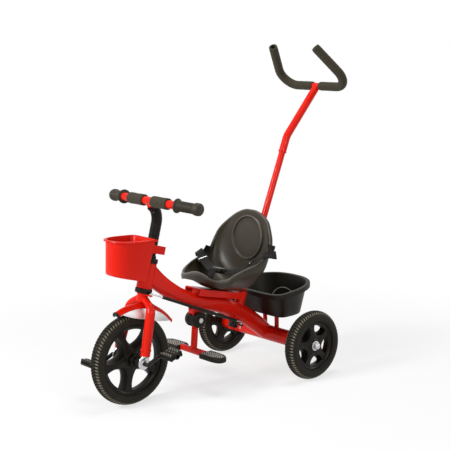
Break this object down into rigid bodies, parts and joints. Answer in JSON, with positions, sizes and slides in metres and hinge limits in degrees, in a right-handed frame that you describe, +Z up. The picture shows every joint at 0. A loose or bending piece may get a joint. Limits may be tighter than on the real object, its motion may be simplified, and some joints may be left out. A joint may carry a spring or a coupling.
{
  "type": "toddler push along trike",
  "caption": "Toddler pedal trike with a bucket seat, front and rear baskets, a folding footrest and a push handle whose rod steers the front wheel.",
  "frame": {"origin": "on the floor, under the middle of the bounding box", "axes": "+Z up, -Y the way the trike rolls forward, +X the rider's left"},
  "size_m": [0.4368, 0.8588, 0.9396],
  "materials": {
    "red_paint": "gloss powder coat",
    "red_plastic": "gloss",
    "black_plastic": "satin",
    "seat_plastic": "semi-gloss fine grain",
    "basket_plastic": "fine grain",
    "wheel_plastic": "semi-gloss",
    "black_paint": "gloss",
    "tyre_foam": "matt",
    "grip_rubber": "matt",
    "soft_foam": "matt open foam",
    "bright_steel": "bright plated",
    "webbing": "woven"
  },
  "bodies": {
    "frame": {"main_beam": "red_paint", "head_tube": "red_paint", "lower_head_cup": "black_plastic", "upper_head_cup": "black_plastic", "rear_axle_tube": "red_paint", "axle_end_plugs": "black_plastic", "rear_axle": "bright_steel", "axle_nuts": "bright_steel", "handle_socket": "red_paint", "socket_bushes": "black_plastic", "seat_plate": "red_paint", "seat_bolts": "bright_steel", "seat_shell": "seat_plastic", "seat_back_panel": "seat_plastic", "left_lap_strap": "webbing", "right_lap_strap": "webbing", "crotch_strap": "webbing", "buckle": "black_plastic", "rear_basket": "basket_plastic", "basket_struts": "red_paint", "footrest_bracket": "red_paint", "hinge_covers": "black_plastic", "hinge_bolt": "bright_steel"},
    "front_fork": {"fork": "red_paint", "left_dropout": "bright_steel", "right_dropout": "bright_steel", "dropout_bolts": "bright_steel", "mudguard": "red_plastic", "mudguard_skirts": "bright_steel", "stem": "black_paint", "handlebar": "red_paint", "bar_foam": "soft_foam", "left_grip": "grip_rubber", "right_grip": "grip_rubber", "front_basket": "red_plastic", "basket_clip": "red_plastic", "clip_screws": "bright_steel"},
    "front_wheel_and_cranks": {"front_tyre": "tyre_foam", "front_wheel": "wheel_plastic", "crank_axle": "black_paint", "hub_spacers": "black_plastic", "pedal_caps": "black_plastic"},
    "left_pedal_body": {"left_pedal": "black_plastic"},
    "right_pedal_body": {"right_pedal": "black_plastic"},
    "left_rear_wheel_body": {"left_rear_tyre": "tyre_foam", "left_rear_wheel": "wheel_plastic"},
    "right_rear_wheel_body": {"right_rear_tyre": "tyre_foam", "right_rear_wheel": "wheel_plastic"},
    "push_handle": {"handle_lower_tube": "red_paint", "handle_upper_tube": "red_paint", "push_bar": "red_paint", "left_push_grip": "soft_foam", "right_push_grip": "soft_foam", "handle_lever": "black_paint"},
    "steering_rod": {"rod_wire": "bright_steel", "rod_sleeve": "black_plastic"},
    "footrest": {"footrest_post": "red_paint", "left_foot_pad": "black_plastic", "right_foot_pad": "black_plastic"}
  },
  "joints": [
    {"name": "steer", "type": "hinge", "parent": "frame", "child": "front_fork", "pos_m": [0, -0.24128, 0.34494], "axis": [0, 0.2756, 0.9613], "range_deg": [-30, 30]},
    {"name": "front_wheel_spin", "type": "hinge", "parent": "front_fork", "child": "front_wheel_and_cranks", "pos_m": [0, -0.30435, 0.125], "axis": [1, 0, 0], "continuous": true},
    {"name": "left_pedal_spin", "type": "hinge", "parent": "front_wheel_and_cranks", "child": "left_pedal_body", "pos_m": [0.1102, -0.25088, 0.14993], "axis": [1, 0, 0], "continuous": true},
    {"name": "right_pedal_spin", "type": "hinge", "parent": "front_wheel_and_cranks", "child": "right_pedal_body", "pos_m": [-0.1102, -0.35782, 0.10007], "axis": [1, 0, 0], "continuous": true},
    {"name": "left_rear_wheel_spin", "type": "hinge", "parent": "frame", "child": "left_rear_wheel_body", "pos_m": [0.191, 0.19265, 0.099], "axis": [1, 0, 0], "continuous": true},
    {"name": "right_rear_wheel_spin", "type": "hinge", "parent": "frame", "child": "right_rear_wheel_body", "pos_m": [-0.191, 0.19265, 0.099], "axis": [1, 0, 0], "continuous": true},
    {"name": "handle_turn", "type": "hinge", "parent": "frame", "child": "push_handle", "pos_m": [0, 0.07887, 0.18504], "axis": [0, 0.3939, 0.9191], "range_deg": [-30, 30]},
    {"name": "rod_swing", "type": "hinge", "parent": "front_fork", "child": "steering_rod", "pos_m": [0.032, -0.25339, 0.30274], "axis": [0, 0.2756, 0.9613], "range_deg": [-30, 30]},
    {"name": "footrest_fold", "type": "hinge", "parent": "frame", "child": "footrest", "pos_m": [0, -0.07654, 0.19108], "axis": [1, 0, 0], "range_deg": [0, 65]}
  ],
  "couplings": [
    {"joint": "handle_turn", "follows": "steer", "ratio": 1},
    {"joint": "rod_swing", "follows": "steer", "ratio": -1}
  ]
}
